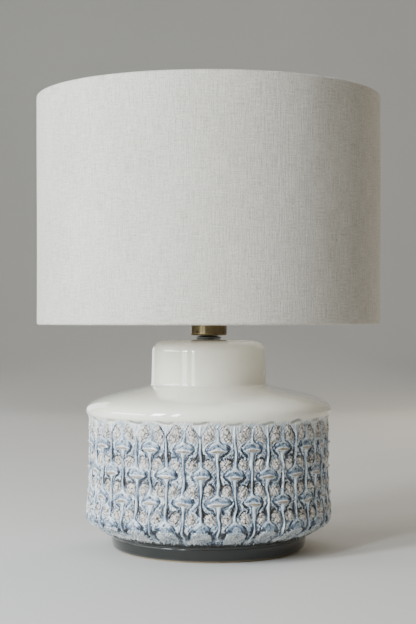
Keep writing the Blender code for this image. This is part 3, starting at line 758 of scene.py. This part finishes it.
def carve_relief():
    along, radius, height = band_profile()
    count = COLUMNS * COLUMN_STEPS
    angle = 2 * np.pi * np.arange(count + 1)[:, None] / count
    s = along[None, :]
    relief = Relief(angle, s)
    for row in (0, 1, 2, 3):
        relief.lumps(row)
    for row in (1, 2, 3, 4):
        relief.cap(row, slit=row < 4)
    for row in (-1, 0, 1, 2, 3):
        relief.rib(row)
    for row in (1, 2, 3):
        relief.slit(row)
    relief.moons(4)
    relief.crown()
    gap = np.abs(np.abs(Cell(relief, 4).across) - PITCH / 2)
    ragged = GLAZE_END + 1.3 * relief.streak + 0.9 * relief.rough + 2.6 * ease(5, 1, gap)
    relief.foot = ease(-0.5, 0.5, s - ragged)
    relief.height = relief.height * (1 - relief.foot) - 0.35 * relief.foot
    relief.height -= 0.8 * ease(-0.2, 1.2, s - ragged)
    relief.height = np.maximum(relief.height, np.interp(s, (GLAZE_END - 4, GLAZE_END + 4), (-4.2, -1.2)))
    relief.height *= ease(along[-1] + 0.1, along[-1] - 3, s)
    relief.height = np.clip(relief.height, -5.0, 0.7)
    return relief, angle, radius, height


def ring_row(turn, radius, height):
    """Points at one radius and height, at each angle from the front."""
    return np.stack([radius * np.sin(turn), -radius * np.cos(turn), height + 0 * turn], -1)


def grid_normals(outer):
    step_a = np.roll(outer[:-1], -1, 0) - np.roll(outer[:-1], 1, 0)
    step_a = np.vstack([step_a, step_a[:1]])
    normal = np.cross(np.gradient(outer, axis=1), step_a)
    return normal / np.linalg.norm(normal, axis=2)[..., None]


def set_normals(mesh, quads, normals):
    """Each quad of the grid takes its points' normals, and every other face stays flat."""
    flat = np.zeros(len(mesh.polygons) * 3, np.float32)
    mesh.polygons.foreach_get("normal", flat)
    totals = np.zeros(len(mesh.polygons), np.int32)
    mesh.polygons.foreach_get("loop_total", totals)
    custom = np.repeat(flat.reshape(-1, 3), totals, axis=0)
    custom[: len(quads) * 4] = normals[quads.ravel()]
    mesh.normals_split_custom_set(custom.tolist())


def make_relief():
    """The band as closed sectors of a thick ring, with the relief on their outer side."""
    relief, angle, radius, height = carve_relief()
    way = np.stack([np.gradient(radius), np.gradient(height)], 1)
    way /= np.linalg.norm(way, axis=1)[:, None]
    outer = ring_row(angle, radius - relief.height * way[:, 1], height + relief.height * way[:, 0])
    normal = grid_normals(outer)
    inside = [(FOOT_RADIUS - 8, FOOT_TOP), (BAND_RADIUS - 10, 34.0), (LIP_RADIUS - 8, LIP_HEIGHT)]
    rows = RELIEF_ROWS + 1
    share = (len(angle) - 1) // SECTORS
    for sector in range(SECTORS):
        first = sector * share + share // 2
        index = np.arange(first, first + share + 1) % (len(angle) - 1)
        wide = len(index)
        start = wide * rows
        inner = [ring_row(angle[index, 0], *corner) for corner in inside]
        points = np.vstack([outer[index].reshape(-1, 3)] + inner)
        at = np.arange(start).reshape(wide, rows)
        quads = np.stack([at[:-1, :-1], at[:-1, 1:], at[1:, 1:], at[1:, :-1]], 2).reshape(-1, 4)
        rings = [at[:, -1]] + [start + k * wide + np.arange(wide) for k in range(len(inside))] + [at[:, 0]]
        back = [np.stack([a[:-1], b[:-1], b[1:], a[1:]], 1) for a, b in zip(rings, rings[1:])]
        low_end, high_end = (tuple(ring[side] for ring in rings[1:-1]) for side in (0, -1))
        faces = quads.tolist() + np.vstack(back).tolist()
        faces += [tuple(at[0])[::-1] + low_end[::-1], tuple(at[-1]) + high_end]
        piece = make(f"ceramic_relief_{sector + 1}", points, faces, RELIEF_GLAZE)
        for name in ("tone", "flow", "clay", "ridge", "lip", "shadow", "foot"):
            values = np.zeros(len(points), np.float32)
            values[:start] = np.broadcast_to(getattr(relief, name), outer.shape[:2])[index].ravel()
            piece.data.attributes.new(name, "FLOAT", "POINT").data.foreach_set("value", values)
        piece.data.update()
        set_normals(piece.data, quads, normal[index].reshape(-1, 3))
        attach(piece, "base", "glazed_ceramic", "ceramic_body")


def make_foot():
    """The dark foot, worn to clay on its rim, with the cord's outlet drilled in its back."""
    rim = BODY_BOTTOM
    profile = [(FOOT_RADIUS - 6, FOOT_TOP + 3.0), (FOOT_RADIUS - 0.6, FOOT_TOP + 0.9)]
    profile += [(FOOT_RADIUS, FOOT_TOP - 0.1)]
    profile += bend(profile[-1], (FOOT_RADIUS - 0.4, FOOT_TOP - 4), (FOOT_RADIUS - 1.2, rim + FOOT_ROUND), 8)
    profile += arc((FOOT_RADIUS - 1.2 - FOOT_ROUND, rim + FOOT_ROUND), FOOT_ROUND, 0, -88, 12)[1:]
    board_radius, _, board_top = span("base_board")
    opening = board_radius + 0.3
    ledge = board_top + 0.3
    profile += [(opening, rim), (opening, ledge), (opening - 3, ledge), (opening - 3, FOOT_TOP + 3.0)]
    foot = lathe("ceramic_foot", profile, 256, FOOT_GLAZE, sharp=40)
    low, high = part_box("cord_grommet")
    bpy.ops.mesh.primitive_cylinder_add(vertices=48, radius=0.0038, depth=0.05, rotation=(math.pi / 2, 0, 0))
    drill = bpy.context.object
    drill.location = (low + high) / 2
    cut = foot.modifiers.new("outlet", "BOOLEAN")
    cut.operation = "DIFFERENCE"
    cut.object = drill
    bpy.context.view_layer.update()
    graph = bpy.context.evaluated_depsgraph_get()
    drilled = bpy.data.meshes.new_from_object(foot.evaluated_get(graph))
    foot.modifiers.clear()
    foot.data = drilled
    bpy.data.objects.remove(drill)
    heights = np.array([v.co.z for v in drilled.vertices]) / MM
    layer = drilled.attributes.new("bare", "FLOAT", "POINT")
    layer.data.foreach_set("value", (1 - ease(rim, rim + 0.8, heights)).astype(np.float32))
    return attach(foot, "base", "glazed_ceramic", "ceramic_body")


make_neck()
make_relief()
make_foot()

# ---------------------------------------------------------------- the shade

SHADE_RADIUS, SHADE_BOTTOM, SHADE_TOP = span("shade_fabric")
FABRIC = 0.5
HEM_RADIUS = 2.4
HEM_WRAP = 225
SEAM_SHIFT = 300.0  # the seam's weave is another stretch of the same cloth
WIRE = 1.6
WIRE_CIRCLE = span("top_wire")[0] - WIRE


def hem(height, way):
    """The fabric's outline round a wire, out and back. Way is 1 at the top edge and -1 at the bottom."""
    outer = arc((WIRE_CIRCLE, 0), HEM_RADIUS, 0, HEM_WRAP, 18)
    inner = arc((WIRE_CIRCLE, 0), HEM_RADIUS - FABRIC, HEM_WRAP, 0, 18)
    return [(r, height + way * (z - HEM_RADIUS)) for r, z in outer + inner]


def drum_wobble(angle, z):
    """The cover is never quite round: slow waves, and small puckers where it rolls over the wires."""
    edge = min(abs(z - SHADE_TOP), abs(z - SHADE_BOTTOM))
    pucker = 0.07 * math.exp(-edge / 3.0)
    slow = 0.16 * np.sin(3 * angle + 0.02 * z) + 0.10 * np.sin(7 * angle + 1.3 + 0.015 * z)
    return slow + pucker * (np.sin(160 * angle + 2 * np.sin(9 * angle)) + np.sin(97 * angle + 0.7))


def make_shade():
    bottom = hem(SHADE_BOTTOM, -1)
    top = hem(SHADE_TOP, 1)[::-1]
    side = between(top[-1], bottom[0], 40)[:-1]
    fabric = lathe("linen_cover", bottom + top + side, 480, LINEN, sharp=60, wobble=drum_wobble)
    attach(fabric, "shade", "linen", "shade_fabric")
    liner_radius, low, high = span("shade_liner")
    gap = 0.4
    inner = liner_radius - gap
    profile = [(inner, high), (liner_radius, high), (liner_radius, low), (inner, low)]
    liner = lathe("shade_lining", profile, 256, LINER, sharp=30, wobble=drum_wobble)
    attach(liner, "shade", "white_plastic", "shade_liner")
    for name in ("top_wire", "bottom_wire"):
        _, base, _ = span(name)
        circle = arc((WIRE_CIRCLE, base + WIRE), WIRE, 90, -255, 15)
        wire = lathe(name + "_ring", circle, 256, ENAMEL, sharp=60)
        attach(wire, "shade", "white_enamelled_wire", name)
    return fabric


def make_seam():
    """The strip along the back where the cover's ends are lapped and glued."""
    half = math.radians(2.0)
    turns = np.linspace(-half, half, 13)
    heights = np.linspace(SHADE_BOTTOM + 1.2, SHADE_TOP - 1.2, 60)
    points, faces = [], []
    for lift, feather in ((0.62, 0.3), (0.1, 0.0)):
        for t in turns:
            thin = feather if abs(t) > half * 0.95 else 0.0
            radius = SHADE_RADIUS + lift - thin
            points += [(-radius * math.sin(t), radius * math.cos(t), z) for z in heights]
    rows, wide = len(heights), len(turns)
    front, back = np.arange(2 * wide * rows).reshape(2, wide, rows)
    for i in range(wide - 1):
        for j in range(rows - 1):
            faces.append((front[i, j + 1], front[i, j], front[i + 1, j], front[i + 1, j + 1]))
            faces.append((back[i, j], back[i, j + 1], back[i + 1, j + 1], back[i + 1, j]))
    for j in range(rows - 1):
        faces.append((front[0, j], front[0, j + 1], back[0, j + 1], back[0, j]))
        faces.append((front[-1, j + 1], front[-1, j], back[-1, j], back[-1, j + 1]))
    for i in range(wide - 1):
        faces.append((front[i + 1, 0], front[i, 0], back[i, 0], back[i + 1, 0]))
        faces.append((front[i, -1], front[i + 1, -1], back[i + 1, -1], back[i, -1]))
    uv = [(points[v][0] + SEAM_SHIFT, points[v][2]) for face in faces for v in face]
    seam = make("cover_seam", points, np.array(faces).tolist(), LINEN, uv)
    seam.data.set_sharp_from_angle(angle=math.radians(40))
    return attach(seam, "shade", "linen")


def make_carrier():
    """The ring that sits on the lampholder, and its three arms out to the bottom wire."""
    radius, base, top = span("fitter_ring")
    bore = 21.0
    half = (top - base) / 2
    profile = arc((radius - half, base + half), half, 90, -90, 8)
    profile += arc((bore + half, base + half), half, -90, -270, 8)
    ring = lathe("carrier_ring", profile, 96, ENAMEL, sharp=60)
    attach(ring, "shade", "white_enamelled_wire", "fitter_ring")
    middle = (base + top) / 2
    start = radius - 0.6
    end = WIRE_CIRCLE - HEM_RADIUS - 0.7
    drop = SHADE_BOTTOM + HEM_RADIUS
    route = [(start, middle)] + between((start, middle), (radius + 6.3, middle), 4)
    route += bend(route[-1], (radius + 12.3, middle), (radius + 20.3, middle - 2), 10)
    route += between(route[-1], (end - 16, drop + 1.5), 14)
    route += bend(route[-1], (end - 10, drop + 0.3), (end, drop), 8)
    route = np.array(route[1:])
    for i in range(3):
        turn = math.radians(90 + 120 * i)
        path = np.stack([route[:, 0] * math.cos(turn), route[:, 0] * math.sin(turn), route[:, 1]], 1)
        thick = np.full(len(path), 1.5)
        thick[0] = thick[-1] = 1.25
        arm = tube(f"carrier_arm_{i + 1}", path, thick, ENAMEL)
        attach(arm, "shade", "white_enamelled_wire", f"shade_arm_{i + 1}")


cover = make_shade()
seam = make_seam()
make_carrier()

# ---------------------------------------------------------------- lampholder and bulb


ROD_BORE = 5.2
SKIRT_BORE = 15.2
THREAD_ROOT = 18.9
GLOBE_RADIUS = 30.0
BULB_WALL = 1.2


def make_lampholder():
    """The brass cup on its dark collar, and the skirt whose thread carries the shade's rings."""
    radius, base, top = span("lampholder_cap")
    wall = 1.0
    edge = 1.7
    profile = [(radius - wall, top - 0.2), (radius - 0.3, top - 0.2), (radius, top - 0.5)]
    profile += between(profile[-1], (radius, base + edge), 12)
    profile += arc((radius - edge, base + edge), edge, 0, -90, 8)[1:]
    profile += [(ROD_BORE, base), (ROD_BORE, base + wall), (radius - wall - 1.4, base + wall)]
    profile += [(radius - wall, base + wall + 1.4)]
    cup = lathe("brass_cup", profile, 128, BRASS, sharp=35)
    attach(cup, "base", "antique_brass", "lampholder_cap")
    radius, base, top = span("seat_collar")
    profile = [(ROD_BORE, top), (8.2, top), (8.6, top - 0.3)]
    profile += between(profile[-1], (radius - 0.1, base + 0.8), 6)
    profile += [(radius, base + 0.5), (radius, base), (ROD_BORE, base)]
    collar = lathe("dark_collar", profile, 96, GUNMETAL, sharp=30)
    attach(collar, "base", "gunmetal", "seat_collar")

    radius, base, top = span("lampholder_skirt")
    outside = [(SKIRT_BORE, top - 2), (SKIRT_BORE, top), (THREAD_ROOT - 0.6, top), (THREAD_ROOT, top - 0.6)]
    outside += screw_rows(THREAD_ROOT + 0.55, THREAD_ROOT, top - 1.4, base + 12.2, 2.0)
    outside += [(radius, base + 9.2), (radius, base + 7.3), (17.0, base + 7.3), (17.0, base)]
    outside += [(16.2, base), (16.2, top - 3.2)]
    skirt = lathe("brass_skirt", outside, 96, BRASS, sharp=30)
    attach(skirt, "base", "antique_brass", "lampholder_skirt")


def screw_rows(crest, root, top, bottom, pitch):
    """A rounded thread's outline down one side."""
    turns = int((top - bottom) / pitch)
    t = np.linspace(0, turns, turns * 6 + 1)
    depth = 0.5 - 0.5 * np.cos(2 * np.pi * t)
    return [(root + (crest - root) * d, top - pitch * x) for d, x in zip(depth, t)]


def shade_ring(name, node, flip, body):
    """A knurled ring nut with a broad flange towards the shade's carrier."""
    radius, base, top = span(node)
    bore, waist, flange = 19.8, 21.8, 1.3
    low, high = (base, base + flange) if flip else (top - flange, top)
    if flip:
        profile = [(bore, top), (waist - 0.3, top), (waist, top - 0.3), (waist, high), (radius - 0.4, high)]
        profile += [(radius, high - 0.4), (radius, low + 0.3), (radius - 0.3, low), (bore, low)]
    else:
        profile = [(bore, high), (radius - 0.3, high), (radius, high - 0.3), (radius, low + 0.4)]
        profile += [(radius - 0.4, low), (waist, low), (waist, base + 0.3), (waist - 0.3, base), (bore, base)]
    ring = lathe(name, profile, 180, BRASS, sharp=25)
    for v in ring.data.vertices:
        if v.co.xy.length > (radius - 0.5) * MM:
            squeeze = 1 - 0.008 * (0.5 + 0.5 * math.cos(60 * math.atan2(v.co.y, v.co.x)))
            v.co.xy *= squeeze
    return attach(ring, body, "antique_brass", node)


def make_bulb():
    """The opal globe, its plastic body and the screw cap, each a shell."""
    _, base, top = span("bulb_globe")
    centre = top - GLOBE_RADIUS
    low = math.degrees(math.asin((base - centre) / GLOBE_RADIUS))
    outer = arc((0, centre), GLOBE_RADIUS, 90, low, 40)
    outer[0] = (0.0, top)
    inner = arc((0, centre), GLOBE_RADIUS - BULB_WALL, low, 90, 24)
    inner[-1] = (0.0, top - BULB_WALL)
    globe = lathe("opal_globe", outer + inner, 96, OPAL, loop=False, sharp=50)
    attach(globe, "bulb", "opal_diffuser", "bulb_globe")
    radius, base, top = span("bulb_housing")
    side = [(radius, top)] + bend((radius, top), (17.0, 290.0), (14.4, base + 4.2), 20) + [(13.9, base)]
    inside = [(r - BULB_WALL, z) for r, z in reversed(side)]
    housing = lathe("bulb_body", side + inside, 96, BULB_PLASTIC, sharp=40)
    attach(housing, "bulb", "white_plastic", "bulb_housing")
    radius, base, top = span("bulb_screw_cap")
    outside = [(radius, top)] + screw_rows(radius, radius - 1.0, top - 0.8, base + 1.0, 3.62) + [(11.0, base)]
    inside = [(10.5, base + 0.5), (radius - 1.5, base + 2), (radius - 1.5, top)]
    cap = lathe("bulb_thread", outside + inside, 96, NICKEL, sharp=50)
    attach(cap, "bulb", "nickel_plate", "bulb_screw_cap")


make_lampholder()
shade_ring("ring_nut_lower", "shade_ring_lower", False, "base")
shade_ring("ring_nut_upper", "shade_ring_upper", True, "upper_ring")
make_bulb()

# ---------------------------------------------------------------- underside and small pieces


def make_felt():
    """The felt disc, with a fuzz on its underside that never reaches below the resting face."""
    radius, base, top = span("felt_pad")
    profile = [(0, top)] + between((0, top), (radius - 0.4, top), 6)
    profile += arc((radius - 0.6, (base + top) / 2), 0.6, 80, -80, 6)
    profile += between(profile[-1], (0, base), 30)
    fuzz = np.random.default_rng(5)
    felt = lathe("felt_disc", profile, 180, FELT, loop=False, sharp=60)
    for v in felt.data.vertices:
        if v.co.z < 0.0004 and v.co.xy.length < (radius - 2) * MM:
            v.co.z += abs(fuzz.normal()) * 0.00004
    attach(felt, "base", "cream_felt", "felt_pad")


make_felt()

KEPT = (
    (BOARD, ("base_board",)),
    (GREY_PLASTIC, ("cord_grommet",)),
    (RUBBER, ("seat_washer",)),
    (STEEL, ("threaded_nipple", "clamp_washer", "lock_washer", "lock_nut", "holder_nut")),
    (PORCELAIN, ("terminal_block",)),
    (BRASS, ("terminal_screw_1", "terminal_screw_2", "terminal_screw_3", "screw_shell", "centre_contact")),
    (NICKEL, ("bulb_contact",)),
    (BLACK_GLASS, ("bulb_insulator",)),
)
for look, nodes in KEPT:
    for node in nodes:
        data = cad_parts[node].data
        data.materials.clear()
        data.materials.append(look)

# ---------------------------------------------------------------- stage, light and camera


def make_stage():
    """A pale floor that curves up into a backdrop."""
    front, back, bend_radius, top, side = -4000.0, 2200.0, 1200.0, 4500.0, 5000.0
    look = Look("stage", Roughness=0.9)
    tone = look.noise(look.add("ShaderNodeTexCoord").outputs["Object"], 1.5, 3.0)
    look.put("Base Color", look.ramp(tone, (0.3, (202, 201, 197)), (0.7, (207, 206, 202))))
    profile = [(front, 0.0), (back, 0.0)] + arc((back, bend_radius), bend_radius, -84, 0, 14)
    profile += [(back + bend_radius, top)]
    points = [(x, y, z) for y, z in profile for x in (-side, side)]
    faces = [(2 * i, 2 * i + 1, 2 * i + 3, 2 * i + 2) for i in range(len(profile) - 1)]
    make("stage", points, faces, look.material)


DAYLIGHT = (0.94, 1.0, 1.06)
LAMPLIGHT = (1.0, 0.88, 0.72)


def area_light(name, azimuth, distance, height, size, power, colour=(1, 1, 1), aim=(0, 0, 0.2)):
    """A soft rectangle. Azimuth is in degrees round from the front towards +X."""
    data = bpy.data.lights.new(name, "AREA")
    data.shape = "RECTANGLE"
    data.size, data.size_y = size
    data.energy = power
    data.color = colour
    light = bpy.data.objects.new(name, data)
    turn = math.radians(azimuth)
    light.location = (distance * math.sin(turn), -distance * math.cos(turn), height)
    light.rotation_euler = (Vector(aim) - light.location).to_track_quat("-Z", "Y").to_euler()
    bpy.context.scene.collection.objects.link(light)
    return light


def make_lights():
    """A two-pane window at the front left with its sills, a lamp at the back right, and a warm room."""
    area_light("window_left_pane", -48, 1.7, 0.86, (0.32, 1.1), 37, DAYLIGHT)
    area_light("window_right_pane", -30.5, 1.7, 0.86, (0.18, 1.1), 18, DAYLIGHT)
    area_light("left_sill", -48, 1.7, 0.13, (0.30, 0.36), 1.6, DAYLIGHT)
    area_light("right_sill", -30.5, 1.7, 0.13, (0.19, 0.36), 1.0, DAYLIGHT)
    area_light("side_window", -80, 2.1, 0.66, (1.5, 0.66), 33, DAYLIGHT)
    area_light("rim_left", -150, 2.2, 1.1, (0.9, 2.4), 11, DAYLIGHT)
    lamp = area_light("rim_right", 142, 2.2, 0.9, (1.4, 2.0), 27, LAMPLIGHT)
    lamp.visible_glossy = False
    area_light("overhead", 170, 1.0, 2.4, (2.0, 2.0), 7, aim=(0, 0, 0.3))
    world = bpy.data.worlds.new("studio")
    world.use_nodes = True
    background = world.node_tree.nodes["Background"]
    background.inputs["Color"].default_value = (0.90, 0.82, 0.69, 1)
    background.inputs["Strength"].default_value = 0.215
    bpy.context.scene.world = world


def make_camera():
    data = bpy.data.cameras.new("camera")
    data.sensor_width = 36
    data.lens = 80.68
    camera = bpy.data.objects.new("camera", data)
    camera.location = (-0.0007, -1.4323, 0.2328)
    camera.rotation_euler = (math.radians(90.331), 0, 0)
    bpy.context.scene.collection.objects.link(camera)
    bpy.context.scene.camera = camera


make_stage()
make_lights()
make_camera()
